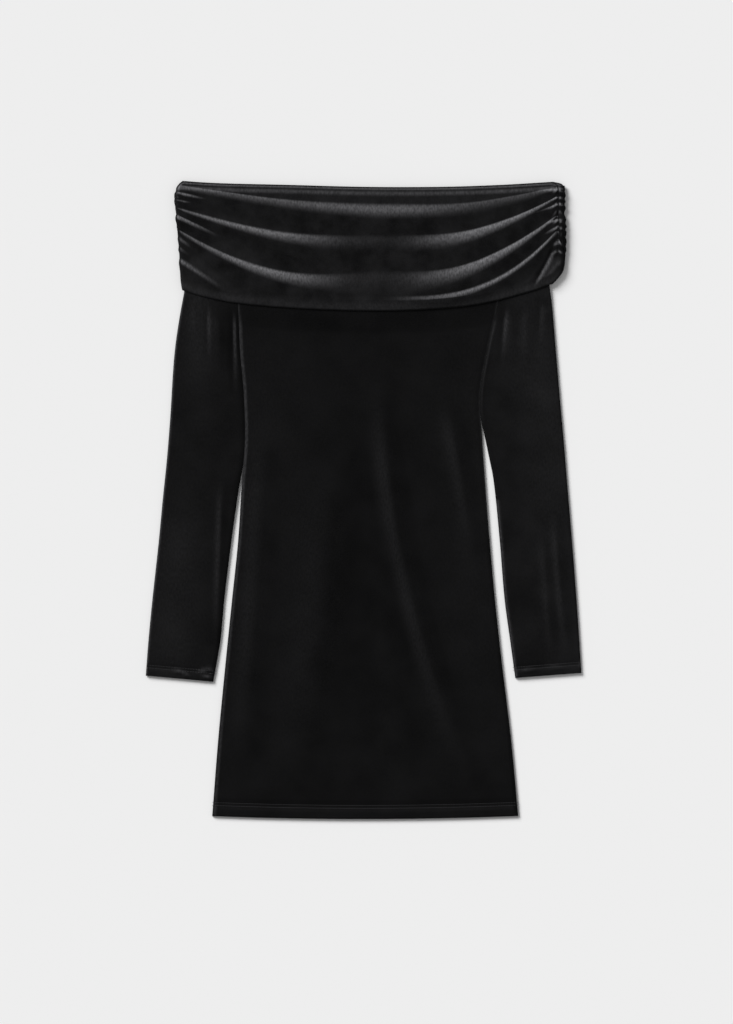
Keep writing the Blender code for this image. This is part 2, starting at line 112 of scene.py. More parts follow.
def read(table, key, column, at):
    """A table's column, read smoothly at these places along its key column, which rises."""
    keys = np.array([getattr(row, key) for row in table])
    values = np.array([getattr(row, column) for row in table])
    step = np.diff(keys)
    slope = np.diff(values) / step
    tangent = np.concatenate([slope[:1], (values[2:] - values[:-2]) / (keys[2:] - keys[:-2]), slope[-1:]])
    at = np.asarray(at, float)
    i = np.clip(np.searchsorted(keys, at, side="right") - 1, 0, len(step) - 1)
    t = (at - keys[i]) / step[i]
    curve = (
        values[i] * (2 * t**3 - 3 * t**2 + 1)
        + tangent[i] * step[i] * (t**3 - 2 * t**2 + t)
        + values[i + 1] * (3 * t**2 - 2 * t**3)
        + tangent[i + 1] * step[i] * (t**3 - t**2)
    )
    return np.where((t < 0) | (t > 1), values[i] + slope[i] * step[i] * t, curve)


def body_left(y):
    return read(body_rows, "y", "left", y)


def body_right(y):
    return read(body_rows, "y", "right", y)


def collar_top(x):
    return read(collar_top_points, "x", "y", x)


def collar_foot(x):
    return read(collar_foot_points, "x", "y", x)


def hem_line(x):
    half = (body_rows[0].right - body_rows[0].left) / 2
    return hem_side_y - hem_dip * (1 - (x / half) ** 2)


def raised(x, y):
    """1 where a layer lies on the back of the collar, and 0 where it has come down to the floor."""
    return 1 - ease((collar_foot(x) - y) / ramp_length)


def panel_plan(rows, columns, left_edge, right_edge, bottom_line):
    """The x and y of a grid that fills a panel from the neckline to its lower edge.

    They depend on each other, so they settle over a few passes.
    """
    down = np.linspace(0, 1, rows)[:, None]
    across = np.linspace(0, 1, columns)[None, :]
    x = np.zeros((rows, columns))
    for _ in range(settling_passes):
        y = mix(collar_top(x) - panel_below_neck, bottom_line(x), down)
        x = mix(left_edge(y), right_edge(y), across)
    return x, y


def grid_faces(rows, columns, first, flip):
    """The quads of a grid of points that starts at this index."""
    corner = first + np.arange(rows - 1)[:, None] * columns + np.arange(columns - 1)[None, :]
    quads = np.stack([corner, corner + 1, corner + columns + 1, corner + columns], axis=-1).reshape(-1, 4)
    return quads[:, ::-1] if flip else quads


def cloth_wall(name, outside, inside, material, lit_from, sheen_and_shade=0):
    """A closed wall of cloth between two grids of points.

    Its colour carries a painted highlight on slopes that face lit_from, raised or lowered by the painted
    sheen and painted shade added at each point of its outside.
    """
    rows, columns = outside.shape[:2]
    points = np.concatenate([outside.reshape(-1, 3), inside.reshape(-1, 3)])
    below = rows * columns
    rim = list(range(columns))
    rim += [r * columns + columns - 1 for r in range(1, rows)]
    rim += [(rows - 1) * columns + c for c in range(columns - 2, -1, -1)]
    rim += [r * columns for r in range(rows - 2, 0, -1)]
    rim = np.array(rim)
    ahead = np.roll(rim, -1)
    faces = np.concatenate(
        [
            grid_faces(rows, columns, 0, False),
            grid_faces(rows, columns, below, True),
            np.stack([rim, rim + below, ahead + below, ahead], axis=-1),
        ]
    )
    mesh = bpy.data.meshes.new(name)
    mesh.from_pydata(points.tolist(), [], faces.tolist())
    wall = bmesh.new()
    wall.from_mesh(mesh)
    bmesh.ops.recalc_face_normals(wall, faces=wall.faces)
    wall.to_mesh(mesh)
    wall.free()
    mesh.shade_smooth()
    mesh.set_sharp_from_angle(angle=math.radians(60))
    mesh.materials.append(material)
    # Painted sheen in the colour: a painted highlight on slopes that face the light.
    paint_sheen(mesh, lit_from, sheen_and_shade)
    piece = bpy.data.objects.new(name, mesh)
    bpy.context.scene.collection.objects.link(piece)
    return piece


def paint_sheen(mesh, lit_from, sheen_and_shade):
    """Stores a painted sheen: a painted highlight, most on the flanks of folds that face this way, and a
    little on rims.
    """
    sheen_when_level, full_sheen_at, sharpness = 0.06, 0.92, 1.3
    rim_share, rim_tilt, rim_fade = 0.12, 0.66, 0.20
    normals = np.empty(len(mesh.vertices) * 3, np.float32)
    mesh.vertices.foreach_get("normal", normals)
    normals = normals.reshape(-1, 3)
    towards = np.array(lit_from) / np.linalg.norm(lit_from)
    level = towards[2]
    # Painted highlight: the colour grows lighter as a slope turns to face the light, and less on steep rims.
    facing = sheen_when_level + (normals @ towards - level) / (full_sheen_at - level)
    off_rim = mix(rim_share, 1, ease((normals[:, 2] - rim_tilt) / rim_fade))
    painted_sheen = np.clip(facing, 0, 1) ** sharpness * off_rim
    painted_sheen[normals[:, 2] <= 0] = 0
    outside = np.ravel(sheen_and_shade) if np.ndim(sheen_and_shade) else np.zeros(len(painted_sheen) // 2)
    painted_sheen[: len(outside)] = np.clip(painted_sheen[: len(outside)] + outside, 0, 1)
    mesh.attributes.new("painted_highlight", "FLOAT", "POINT").data.foreach_set("value", painted_sheen.astype(np.float32))


def velvet_nap_group():
    """The nap of velvet: a fine pile, and broad soft patches where the pile lies another way."""
    group = bpy.data.node_groups.new("velvet nap", "ShaderNodeTree")
    socket = group.interface.new_socket
    socket("Place", in_out="INPUT", socket_type="NodeSocketVector")
    socket("Lay", in_out="INPUT", socket_type="NodeSocketVector").default_value = (1.0, 0.4, 1.0)
    for label, value in (
        ("Pile size", 0.0009),
        ("Fleck size", 0.0019),
        ("Brushed size", 0.05),
        ("Brushed share", 0.5),
        ("Pile depth", 0.3),
    ):
        socket(label, in_out="INPUT", socket_type="NodeSocketFloat").default_value = value
    socket("Shade", in_out="OUTPUT", socket_type="NodeSocketFloat")
    socket("Flecks", in_out="OUTPUT", socket_type="NodeSocketFloat")
    socket("Normal", in_out="OUTPUT", socket_type="NodeSocketVector")
    nodes, link = group.nodes, group.links.new
    inlet, outlet = nodes.new("NodeGroupInput"), nodes.new("NodeGroupOutput")

    lay = nodes.new("ShaderNodeVectorMath")
    lay.operation = "MULTIPLY"
    link(inlet.outputs["Place"], lay.inputs[0])
    link(inlet.outputs["Lay"], lay.inputs[1])

    def noise(size, detail, place=inlet.outputs["Place"]):
        """A noise whose features are about this size."""
        scale = nodes.new("ShaderNodeMath")
        scale.operation = "DIVIDE"
        scale.inputs[0].default_value = 1.0
        link(inlet.outputs[size], scale.inputs[1])
        texture = nodes.new("ShaderNodeTexNoise")
        texture.inputs["Detail"].default_value = detail
        link(place, texture.inputs["Vector"])
        link(scale.outputs[0], texture.inputs["Scale"])
        return texture.outputs["Fac"]

    pile = noise("Pile size", 3.0)
    brushed_nap_and_sheen = noise("Brushed size", 2.0)
    link(noise("Fleck size", 4.0, lay.outputs["Vector"]), outlet.inputs["Flecks"])
    shade = nodes.new("ShaderNodeMix")
    link(inlet.outputs["Brushed share"], shade.inputs["Factor"])
    link(pile, shade.inputs["A"])
    link(brushed_nap_and_sheen, shade.inputs["B"])
    link(shade.outputs["Result"], outlet.inputs["Shade"])
    bump = nodes.new("ShaderNodeBump")
    bump.inputs["Distance"].default_value = 0.0004
    link(inlet.outputs["Pile depth"], bump.inputs["Strength"])
    link(pile, bump.inputs["Height"])
    link(bump.outputs["Normal"], outlet.inputs["Normal"])
    return group


velvet_nap = velvet_nap_group()


def velvet(name, brushed_share, highlight_tone, rest_tone, brushed_size=0.05):
    """Black velvet for one piece: the lightness of its painted highlight, and its own tone where no highlight
    is painted.
    """
    material = bpy.data.materials.new(name)
    material.use_nodes = True
    nodes, link = material.node_tree.nodes, material.node_tree.links.new
    shader = nodes["Principled BSDF"]
    place = nodes.new("ShaderNodeTexCoord")
    nap = nodes.new("ShaderNodeGroup")
    nap.node_tree = velvet_nap
    nap.inputs["Brushed share"].default_value = brushed_share
    nap.inputs["Brushed size"].default_value = brushed_size
    link(place.outputs["Object"], nap.inputs["Place"])

    def ramp(source, dark, dark_tone, light, light_tone):
        stops = nodes.new("ShaderNodeValToRGB")
        for stop, position, tone in zip(stops.color_ramp.elements, (dark, light), (dark_tone, light_tone)):
            stop.position = position
            stop.color = (tone, tone * 0.99, tone * 1.04, 1)
        link(source, stops.inputs["Fac"])
        return stops.outputs["Color"]

    closed = ramp(nap.outputs["Shade"], 0.38, rest_tone * 0.45, 0.62, rest_tone * 1.6)
    # The painted highlight colour, with grain in it.
    painted_sheen = ramp(nap.outputs["Flecks"], 0.34, highlight_tone * 0.62, 0.68, highlight_tone * 1.38)
    # Painted sheen: the stored amount mixes the velvet's own colour towards the painted highlight colour.
    brushed_nap_and_sheen = nodes.new("ShaderNodeAttribute")
    brushed_nap_and_sheen.attribute_name = "painted_highlight"
    colour = nodes.new("ShaderNodeMix")
    colour.data_type = "RGBA"
    # Inputs 6 and 7 and output 2 are the Mix node's colour sockets.
    link(brushed_nap_and_sheen.outputs["Fac"], colour.inputs["Factor"])
    link(closed, colour.inputs[6])
    link(painted_sheen, colour.inputs[7])
    link(colour.outputs[2], shader.inputs["Base Color"])
    roughness = nodes.new("ShaderNodeMapRange")
    roughness.inputs["To Min"].default_value = 0.70
    roughness.inputs["To Max"].default_value = 0.85
    link(nap.outputs["Shade"], roughness.inputs["Value"])
    link(roughness.outputs["Result"], shader.inputs["Roughness"])
    link(nap.outputs["Normal"], shader.inputs["Normal"])
    shader.inputs["Specular IOR Level"].default_value = 0.05
    shader.inputs["Sheen Weight"].default_value = 0.10
    shader.inputs["Sheen Roughness"].default_value = 0.25
    shader.inputs["Sheen Tint"].default_value = (0.90, 0.90, 0.93, 1)
    return material


def flat_layer(x, y, height):
    return np.stack([x, y, height], axis=-1)


def stitch_row_group():
    """Geometry Nodes that sew a row of stitches along a line."""
    group = bpy.data.node_groups.new("stitch row", "GeometryNodeTree")
    socket = group.interface.new_socket
    socket("Line", in_out="INPUT", socket_type="NodeSocketGeometry")
    for label in ("Pitch", "Stitch length", "Thread radius"):
        socket(label, in_out="INPUT", socket_type="NodeSocketFloat")
    socket("Thread", in_out="INPUT", socket_type="NodeSocketMaterial")
    socket("Stitches", in_out="OUTPUT", socket_type="NodeSocketGeometry")
    nodes, link = group.nodes, group.links.new
    inlet, outlet = nodes.new("NodeGroupInput"), nodes.new("NodeGroupOutput")
    curve = nodes.new("GeometryNodeMeshToCurve")
    link(inlet.outputs["Line"], curve.inputs["Mesh"])
    places = nodes.new("GeometryNodeCurveToPoints")
    places.mode = "LENGTH"
    link(curve.outputs["Curve"], places.inputs["Curve"])
    link(inlet.outputs["Pitch"], places.inputs["Length"])
    ball = nodes.new("GeometryNodeMeshUVSphere")
    ball.inputs["Segments"].default_value = 6
    ball.inputs["Rings"].default_value = 4
    ball.inputs["Radius"].default_value = 1.0
    half = nodes.new("ShaderNodeMath")
    half.operation = "MULTIPLY"
    half.inputs[1].default_value = 0.5
    link(inlet.outputs["Stitch length"], half.inputs[0])
    size = nodes.new("ShaderNodeCombineXYZ")
    link(inlet.outputs["Thread radius"], size.inputs["X"])
    link(inlet.outputs["Thread radius"], size.inputs["Y"])
    link(half.outputs[0], size.inputs["Z"])
    sewing = nodes.new("GeometryNodeInstanceOnPoints")
    link(places.outputs["Points"], sewing.inputs["Points"])
    link(ball.outputs["Mesh"], sewing.inputs["Instance"])
    link(places.outputs["Rotation"], sewing.inputs["Rotation"])
    link(size.outputs["Vector"], sewing.inputs["Scale"])
    realize = nodes.new("GeometryNodeRealizeInstances")
    link(sewing.outputs["Instances"], realize.inputs["Geometry"])
    dye = nodes.new("GeometryNodeSetMaterial")
    link(realize.outputs["Geometry"], dye.inputs["Geometry"])
    link(inlet.outputs["Thread"], dye.inputs["Material"])
    link(dye.outputs["Geometry"], outlet.inputs["Stitches"])
    return group


stitch_row = stitch_row_group()

thread = bpy.data.materials.new("black thread")
thread.use_nodes = True
thread_shader = thread.node_tree.nodes["Principled BSDF"]
thread_twist = thread.node_tree.nodes.new("ShaderNodeTexNoise")
thread_twist.inputs["Scale"].default_value = 900
thread_tone = thread.node_tree.nodes.new("ShaderNodeValToRGB")
thread_tone.color_ramp.elements[0].color = (0.010, 0.010, 0.011, 1)
thread_tone.color_ramp.elements[1].color = (0.036, 0.036, 0.039, 1)
thread_place = thread.node_tree.nodes.new("ShaderNodeTexCoord")
thread.node_tree.links.new(thread_place.outputs["Object"], thread_twist.inputs["Vector"])
thread.node_tree.links.new(thread_twist.outputs["Fac"], thread_tone.inputs["Fac"])
thread.node_tree.links.new(thread_tone.outputs["Color"], thread_shader.inputs["Base Color"])
thread_shader.inputs["Roughness"].default_value = 0.5


def sewn_lines(surface, edge_line, heights, lift):
    """Lines across a grid of points, at these heights above an edge line."""
    lines = []
    for height in heights:
        line = []
        for column in range(surface.shape[1]):
            x, y, z = surface[:, column].T
            above = y - edge_line(x) - height
            row = int(np.argmax(above < 0))
            share = above[row - 1] / (above[row - 1] - above[row])
            line.append(mix(surface[row - 1, column], surface[row, column], share) + (0, 0, lift))
        lines.append(np.array(line))
    return lines


def sew(name, lines):
    """Rows of stitches along these lines, in one piece."""
    points = np.concatenate(lines)
    starts = np.cumsum([0] + [len(line) for line in lines])
    edges = [(k, k + 1) for first, last in zip(starts[:-1], starts[1:]) for k in range(first, last - 1)]
    guide_mesh = bpy.data.meshes.new(name + " guide")
    guide_mesh.from_pydata(points.tolist(), edges, [])
    guide = bpy.data.objects.new(name + " guide", guide_mesh)
    bpy.context.scene.collection.objects.link(guide)
    modifier = guide.modifiers.new("stitch row", "NODES")
    modifier.node_group = stitch_row
    values = {"Pitch": 0.0034, "Stitch length": 0.0029, "Thread radius": 0.00024, "Thread": thread}
    for item in stitch_row.interface.items_tree:
        if item.in_out == "INPUT" and item.name in values:
            modifier[item.identifier] = values[item.name]
    sewn = guide.evaluated_get(bpy.context.evaluated_depsgraph_get())
    piece = bpy.data.objects.new(name, bpy.data.meshes.new_from_object(sewn))
    guide.modifiers.remove(modifier)
    bpy.data.objects.remove(guide)
    piece.data.shade_smooth()
    bpy.context.scene.collection.objects.link(piece)
    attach(piece, "root")
    return piece


x, y = panel_plan(rows=120, columns=50, left_edge=body_left, right_edge=body_right, bottom_line=hem_line)
level = rise * raised(x, y)
body_light = (-0.60, 0.30, 0.74)
back_panel = cloth_wall(
    "back_panel_velvet",
    flat_layer(x, y, level),
    flat_layer(x, y, level + cloth),
    velvet("back panel velvet", brushed_share=0.35, highlight_tone=0.042, rest_tone=0.0031),
    body_light,
)
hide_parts("back_panel")
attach(back_panel, "root")
sew("hem_stitches_back", sewn_lines(flat_layer(x, y, level), hem_line, hem_stitch_heights, 0.0001))


# FRONT PANEL. The same A-line cut, which lies on the back with a little air between them and a few long soft
# folds that fan out towards the hem. Velvet, overlocked to the back at the sides and to the sleeves above.

SoftFold = namedtuple("SoftFold", "top_x top_y foot_x foot_y bow lift width")
front_folds = (
    SoftFold(0.0215, 0.160, 0.1600, -0.410, -0.0280, 0.0009, 0.013),
    SoftFold(0.1050, 0.130, 0.1500, -0.100, 0.0060, 0.0007, 0.012),
    SoftFold(-0.0450, 0.060, -0.0900, -0.410, 0.0100, 0.0007, 0.030),
    SoftFold(-0.1320, 0.120, -0.1550, -0.400, -0.0020, 0.0006, 0.020),
)
# Bands of painted sheen on the front panel: a painted highlight along the first long fold, and broad lighter
# and darker bands of painted sheen and painted shade.
front_sheen_bands = (
    SoftFold(0.0215, 0.160, 0.1600, -0.410, -0.0290, 0.035, 0.006),
    SoftFold(-0.0020, 0.140, -0.0100, -0.420, 0.0, -0.05, 0.022),
    SoftFold(0.0450, 0.060, 0.0900, -0.420, -0.0200, -0.04, 0.018),
    SoftFold(-0.1250, 0.300, -0.1450, -0.400, 0.0, 0.03, 0.045),
    SoftFold(0.1350, 0.300, 0.1500, -0.400, 0.0, 0.03, 0.040),
)
seam_seat = 0.0028
fold_margin = 0.038
hem_groove_depth = 0.0005
hem_groove_width = 0.0030
# A thin painted highlight along the body's edge beside the armhole seams, fading out below the chest.
seam_highlight_amount = 0.6
seam_highlight_inset = 0.0008
seam_highlight_width = 0.0009
seam_highlight_foot_y = -0.08
seam_highlight_fade = 0.08


def soft_fold_lift(folds, x, y):
    """The height that long soft folds add to a layer."""
    fade_in, fade_out = 0.25, 0.50
    total = np.zeros_like(x)
    for fold in folds:
        share = (fold.top_y - y) / (fold.top_y - fold.foot_y)
        centre = mix(fold.top_x, fold.foot_x, share) + fold.bow * 4 * share * (1 - share)
        fade = ease(share / fade_in) * ease((1 - share) / fade_out)
        total += fold.lift * fade * np.exp(-(((x - centre) / fold.width) ** 2))
    return total


x, y = panel_plan(rows=220, columns=130, left_edge=body_left, right_edge=body_right, bottom_line=hem_line)
from_edge = np.minimum(x - body_left(y), body_right(y) - x)
on_floor = 1 - raised(x, y)
folds = ease(from_edge / fold_margin) * soft_fold_lift(front_folds, x, y)
puff = ease(from_edge / seam_seat) * body_loft + folds
hem_groove = hem_groove_depth * np.exp(-(((y - hem_line(x) - hem_turn) / hem_groove_width) ** 2))
level = rise * raised(x, y) + cloth + seam_gap + on_floor * np.maximum(puff - hem_groove, 0)
# Painted sheen bands, and the painted highlight along the seams.
brushed_nap_and_sheen = soft_fold_lift(front_sheen_bands, x, y)
seam_highlight = seam_highlight_amount * np.exp(-(((from_edge - seam_highlight_inset) / seam_highlight_width) ** 2))
seam_highlight = seam_highlight * ease((y - seam_highlight_foot_y) / seam_highlight_fade)
front_panel = cloth_wall(
    "front_panel_velvet",
    flat_layer(x, y, level + cloth),
    flat_layer(x, y, level),
    velvet("front panel velvet", brushed_share=0.35, highlight_tone=0.042, rest_tone=0.0031),
    body_light,
    brushed_nap_and_sheen + seam_highlight,
)
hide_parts("front_panel")
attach(front_panel, "root")
sew("hem_stitches_front", sewn_lines(flat_layer(x, y, level + cloth), hem_line, hem_stitch_heights, 0.0))


# SLEEVES. Each is one cut of velvet folded along its outer edge, with its seam along the inner edge and a
# turned hem at the cuff. They are set into the armholes and lie a little away from the body.

sleeve_loft = 0.0011
armhole_gap = 0.00004
cuff_turn = 0.0125
cuff_groove_depth = 0.0005
cuff_groove_width = 0.0025
cuff_stitch_heights = (0.0105, 0.0140)
sleeve_fold_margin = 0.010
sleeve_rest_tones = {"left": 0.0032, "right": 0.0043}
SleeveRow = namedtuple("SleeveRow", "y outer gap")
sleeve_rows = {
    "left": (
        SleeveRow(-0.237, -0.2835, 0.0135),
        SleeveRow(-0.183, -0.2795, 0.0095),
        SleeveRow(-0.131, -0.2745, 0.0100),
        SleeveRow(-0.053, -0.2660, 0.0085),
        SleeveRow(0.000, -0.2610, 0.0045),
        SleeveRow(0.049, -0.2560, armhole_gap),
        SleeveRow(0.103, -0.2515, armhole_gap),
        SleeveRow(0.194, -0.2450, armhole_gap),
        SleeveRow(0.271, -0.2330, armhole_gap),
    ),
    "right": (
        SleeveRow(-0.232, 0.2835, 0.0150),
        SleeveRow(-0.183, 0.2805, 0.0140),
        SleeveRow(-0.131, 0.2770, 0.0125),
        SleeveRow(-0.053, 0.2710, 0.0130),
        SleeveRow(0.025, 0.2645, 0.0110),
        SleeveRow(0.064, 0.2615, 0.0060),
        SleeveRow(0.110, 0.2575, armhole_gap),
        SleeveRow(0.194, 0.2500, armhole_gap),
        SleeveRow(0.2550, 0.2445, armhole_gap),
        SleeveRow(0.2800, 0.2415, armhole_gap),
    ),
}
Cuff = namedtuple("Cuff", "outer_x outer_y inner_x inner_y")
cuffs = {
    "left": Cuff(-0.2830, -0.2290, -0.1955, -0.2370),
    "right": Cuff(0.2830, -0.2255, 0.1980, -0.2320),
}
CollarSide = namedtuple("CollarSide", "share left right")
collar_side_rows = (
    CollarSide(0.00, -0.2350, 0.2460),
    CollarSide(0.02, -0.2385, 0.2560),
    CollarSide(0.05, -0.2415, 0.2598),
    CollarSide(0.15, -0.2448, 0.2610),
    CollarSide(0.30, -0.2437, 0.2608),
    CollarSide(0.55, -0.2402, 0.2622),
    CollarSide(0.80, -0.2383, 0.2620),
    CollarSide(0.90, -0.2380, 0.2600),
    CollarSide(0.95, -0.2372, 0.2550),
    CollarSide(1.00, -0.2358, 0.2465),
)
collar_roll_in = 0.0045
right_roll_in = 0.012
right_sleeve_neck_x = 0.2505
right_sleeve_neck_y = 0.409
hidden_share_of_roll = 0.8
# Painted sheen on the sleeves: lighter away from the inner seam and in broad bands, painted highlights beside
# the cuff wrinkles, and painted shade along the seam.
sleeve_middle_sheen = 0.03
sleeve_middle_sheen_reach = 0.060
wrinkle_highlight = 600
wrinkle_highlight_shift = 0.001
sleeve_seam_shade_width = 0.0030
sleeve_sheen_bands = (
    SoftFold(-0.2130, 0.350, -0.2150, 0.120, 0.0, 0.13, 0.018),
    SoftFold(-0.2450, 0.020, -0.2450, -0.330, 0.0, 0.08, 0.030),
    SoftFold(0.2150, 0.350, 0.2250, 0.050, 0.0, 0.07, 0.030),
    SoftFold(0.2380, 0.200, 0.2450, -0.150, 0.0, 0.05, 0.030),
)
Wrinkle = namedtuple("Wrinkle", "x y tilt length width lift")
cuff_wrinkles = (
    Wrinkle(-0.2390, -0.2240, -0.20, 0.0070, 0.0014, 0.0009),
    Wrinkle(-0.2310, -0.2275, -0.30, 0.0050, 0.0012, 0.0007),
    Wrinkle(-0.2050, -0.2225, 0.15, 0.0080, 0.0016, 0.0011),
    Wrinkle(-0.2025, -0.2305, -0.05, 0.0060, 0.0013, 0.0009),
    Wrinkle(0.2150, -0.2215, 0.10, 0.0080, 0.0014, 0.0005),
    Wrinkle(0.2500, -0.2180, -0.05, 0.0100, 0.0016, 0.0004),
)
sleeve_folds = (
    SoftFold(-0.2050, 0.320, -0.2030, 0.170, 0.0, -0.0006, 0.0034),
    SoftFold(-0.1890, 0.320, -0.1870, 0.160, 0.0, 0.0002, 0.0060),
    SoftFold(-0.1715, 0.330, -0.1690, 0.130, 0.0, -0.0009, 0.0034),
    SoftFold(-0.2190, 0.310, -0.2170, 0.190, 0.0, 0.0002, 0.0055),
    SoftFold(-0.1830, 0.030, -0.1900, -0.205, 0.0, 0.0005, 0.0050),
    SoftFold(0.1885, 0.320, 0.1775, 0.170, 0.0, -0.0009, 0.0036),
    SoftFold(0.2000, 0.320, 0.1900, 0.170, 0.0, 0.0002, 0.0055),
    SoftFold(0.2160, 0.320, 0.2120, 0.150, 0.0, 0.0003, 0.0065),
    SoftFold(0.2310, 0.310, 0.2270, 0.190, 0.0, -0.0004, 0.0045),
    SoftFold(0.2500, -0.010, 0.2720, -0.225, -0.004, 0.0004, 0.0060),
    SoftFold(0.2330, -0.040, 0.2480, -0.225, 0.0, 0.0003, 0.0060),
)


def wrinkle_lift(wrinkles, x, y):
    """The height that short creases across a layer add to it."""
    total = np.zeros_like(x)
    for wrinkle in wrinkles:
        along = (x - wrinkle.x) / wrinkle.length
        off = (y - wrinkle.y - wrinkle.tilt * (x - wrinkle.x)) / wrinkle.width
        total += wrinkle.lift * np.exp(-(along**2)) * np.exp(-(off**2))
    return total


def collar_share(x, y):
    """How far down the collar a point lies, 0 at the neckline and 1 at the foot."""
    return (collar_top(x) - y) / (collar_top(x) - collar_foot(x))


def collar_side(share, side):
    return read(collar_side_rows, "share", side, share)


def collar_roll(share, side):
    """How far in from its side the collar has rolled flat."""
    if side == "left":
        return np.full_like(share, collar_roll_in)
    return mix(right_roll_in, collar_roll_in, ease((share - 0.55) / 0.40))


def sleeve_outer(y, side):
    rows = sleeve_rows[side]
    free = read(rows, "y", "outer", y)
    share = collar_share(rows[-1].outer, y)
    inside = hidden_share_of_roll * collar_roll(share, side)
    if side == "left":
        return np.where(y <= rows[-1].y, free, collar_side(share, side) + inside)
    up = (y - rows[-1].y) / (right_sleeve_neck_y - rows[-1].y)
    straight = mix(rows[-1].outer, right_sleeve_neck_x, up)
    return np.where(y <= rows[-1].y, free, np.minimum(straight, collar_side(share, side) - inside))


def sleeve_inner(y, side):
    gap = np.maximum(read(sleeve_rows[side], "y", "gap", y), armhole_gap)
    return body_left(y) - gap if side == "left" else body_right(y) + gap


def cuff_line(x, side):
    cuff = cuffs[side]
    return mix(cuff.outer_y, cuff.inner_y, (x - cuff.outer_x) / (cuff.inner_x - cuff.outer_x))


def make_sleeve(side):
    """A flat tube: an under ply, the folded edge, and a top ply that ends just above the under ply's edge."""
    rows, under_columns, ply_columns, fold_columns = 200, 14, 46, 9
    toward_fold = -1 if side == "left" else 1

    def plan(shares):
        down = np.linspace(0, 1, rows)[:, None]
        x = np.zeros((rows, len(shares)))
        for _ in range(settling_passes):
            y = mix(collar_top(x) - panel_below_neck, cuff_line(x, side), down)
            x = mix(sleeve_inner(y, side), sleeve_outer(y, side), shares[None, :])
        return x, y

    width = abs(sleeve_outer(np.array(0.0), side) - sleeve_inner(np.array(0.0), side))
    fold_share = 1 - (2 * cloth + seam_gap + sleeve_loft) / 2 / float(width)
    x, y = plan(np.linspace(0, fold_share, under_columns))
    ground = rise * raised(x, y)
    outside, inside = [flat_layer(x, y, ground)], [flat_layer(x, y, ground + cloth)]

    x, y = plan(np.linspace(fold_share, 0, ply_columns))
    free = 1 - raised(x, y)
    ground = rise * raised(x, y)
    loft = sleeve_loft * free
    from_seam = np.abs(x - sleeve_inner(y, side))
    from_fold = np.abs(sleeve_outer(y, side) - x)
    from_turn = y - cuff_line(x, side) - cuff_turn
    cuff_groove = cuff_groove_depth * np.exp(-((from_turn / cuff_groove_width) ** 2))
    folds = ease(from_fold / sleeve_fold_margin) * soft_fold_lift(sleeve_folds, x, y) - cuff_groove
    folds += wrinkle_lift(cuff_wrinkles, x, y)
    deepest = -0.8 * sleeve_loft
    puff = ease(from_seam / seam_seat) * (loft + free * np.maximum(folds, deepest))
    top = ground + 2 * cloth + seam_gap + puff
    upper_outside, upper_inside = flat_layer(x, y, top), flat_layer(x, y, top - cloth)

    centre_x, centre_y, ground = x[:, 0], y[:, 0], ground[:, 0]
    radius = (2 * cloth + seam_gap + loft[:, 0]) / 2
    angle = np.pi * np.arange(1, fold_columns) / fold_columns
    for layers, r in ((outside, radius), (inside, radius - cloth)):
        bend_x = centre_x[:, None] + toward_fold * r[:, None] * np.sin(angle)
        bend_z = (ground + radius)[:, None] - r[:, None] * np.cos(angle)
        layers.append(flat_layer(bend_x, np.repeat(centre_y[:, None], len(angle), axis=1), bend_z))
    outside = np.concatenate(outside + [upper_outside], axis=1)
    inside = np.concatenate(inside + [upper_inside], axis=1)
    material = velvet(f"{side} sleeve velvet", 0.5, highlight_tone=0.042, rest_tone=sleeve_rest_tones[side])
    x, y = outside[..., 0], outside[..., 1]
    from_seam = np.abs(x - sleeve_inner(y, side))
    # Painted sheen away from the seam and in bands, painted highlights by the cuff wrinkles, and painted
    # shade along the upper seam.
    sheen_and_shade = sleeve_middle_sheen * ease(from_seam / sleeve_middle_sheen_reach) + soft_fold_lift(sleeve_sheen_bands, x, y)
    sheen_and_shade += wrinkle_highlight * wrinkle_lift(cuff_wrinkles, x, y - wrinkle_highlight_shift)
    sheen_and_shade -= np.exp(-((from_seam / sleeve_seam_shade_width) ** 2)) * (y > 0)
    sleeve = cloth_wall(f"sleeve_{side}_velvet", outside, inside, material, body_light, sheen_and_shade)
    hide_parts(f"sleeve_{side}")
    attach(sleeve, "root")

    def cuff_edge(x):
        return cuff_line(x, side)

    rows_sewn = sewn_lines(upper_outside, cuff_edge, cuff_stitch_heights, 0.0)
    rows_sewn += sewn_lines(outside[:, :under_columns], cuff_edge, cuff_stitch_heights, 0.0001)
    sew(f"cuff_stitches_{side}", rows_sewn)


make_sleeve("left")
make_sleeve("right")


# COLLAR. A deep band of doubled velvet sewn along the neckline and turned over. Its front and back halves are
# gathered onto side seams, so the front hangs in long swags between them, and the foot is a soft fold.

middle_level = rise + cloth + seam_gap / 2
inner_half = cloth + seam_gap / 2 + collar_clearance
outer_half = inner_half + collar_cloth
seam_left_x = -0.244
seam_right_x = 0.250
Swag = namedtuple(
    "Swag",
    "left_y low_x low_y right_y bow_left bow_right"
    " steep_left steep_middle steep_right width_middle width_seam start",
)
swags = (
    Swag(0.4080, 0.024, 0.3725, 0.4050, 1.25, 1.8, 0.26, 0.27, 0.17, 0.0115, 0.0036, 0.75),
    Swag(0.3795, 0.015, 0.3305, 0.3925, 1.75, 2.2, 0.52, 0.09, 0.50, 0.0150, 0.0016, 0.80),
    Swag(0.3525, 0.015, 0.2790, 0.3680, 2.30, 2.1, 0.60, 0.05, 0.52, 0.0180, 0.0016, 0.80),
    Swag(0.3100, 0.002, 0.2570, 0.3480, 4.10, 3.1, 0.00, 0.01, 0.62, 0.0100, 0.0022, 0.50),
)
Gather = namedtuple("Gather", "seam_x y run fall steep width")
